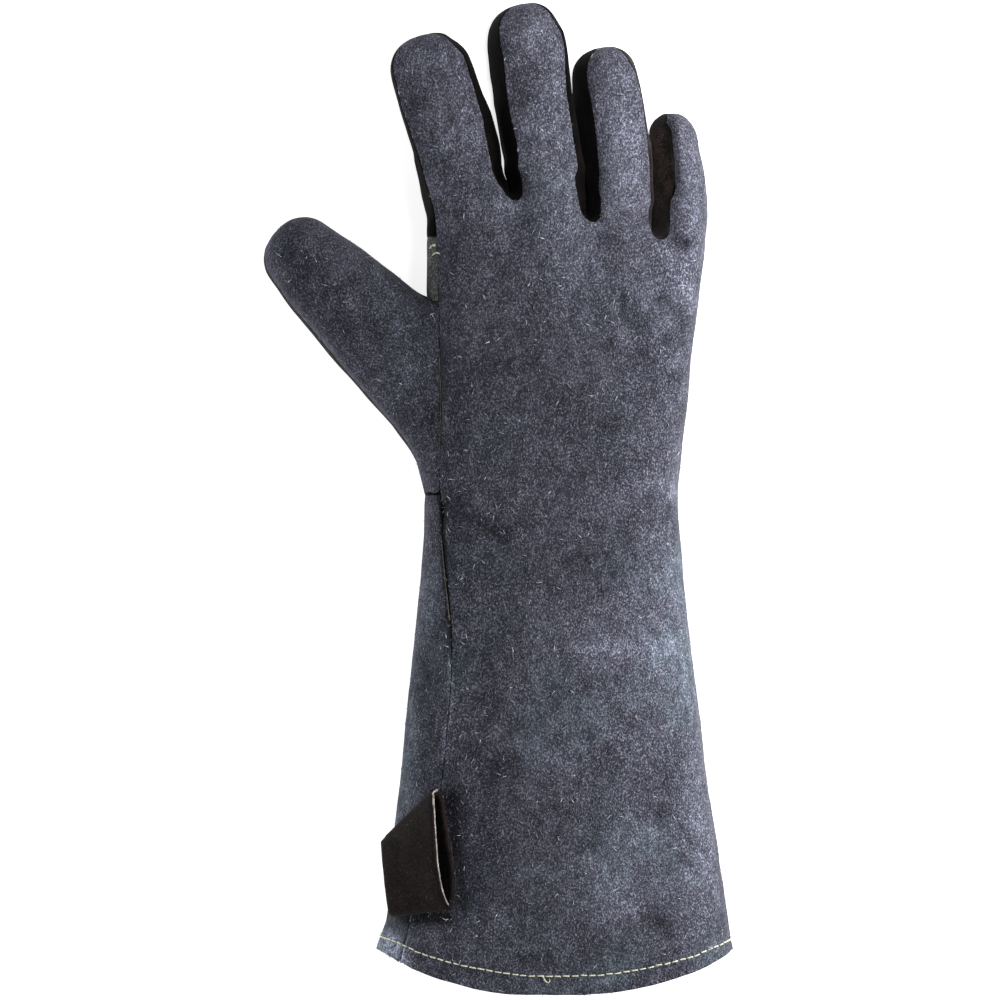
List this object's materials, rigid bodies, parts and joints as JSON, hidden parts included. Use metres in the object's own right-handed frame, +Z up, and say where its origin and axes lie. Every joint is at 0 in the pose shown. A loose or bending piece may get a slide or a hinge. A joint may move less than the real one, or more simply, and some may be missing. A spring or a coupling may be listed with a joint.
{
  "type": "welding gauntlet",
  "caption": "Long leather welding gauntlet for the right hand, lying palm down, with a flared cuff, black side walls on the fingers and a hanging loop.",
  "frame": {"origin": "middle of the gauntlet on the surface it lies on", "axes": "+Y from the cuff towards the fingertips, +Z up from the palm to the back of the hand, -X towards the thumb"},
  "size_m": [0.1922, 0.405, 0.0637],
  "materials": {
    "suede": "napped blue-grey split leather",
    "black_leather": "matt black leather",
    "thread": "pale twisted sewing thread"
  },
  "bodies": {
    "root": {"back_panel": "suede", "thumb_back": "suede", "thumb_crotch_tab": "suede", "cuff_underside": "suede", "palm_panel": "black_leather", "thumb_front": "black_leather", "index_side_strip": "black_leather", "fourchette_index_middle": "black_leather", "fourchette_middle_ring": "black_leather", "fourchette_ring_little": "black_leather", "hanging_loop": "black_leather"}
  },
  "joints": []
}
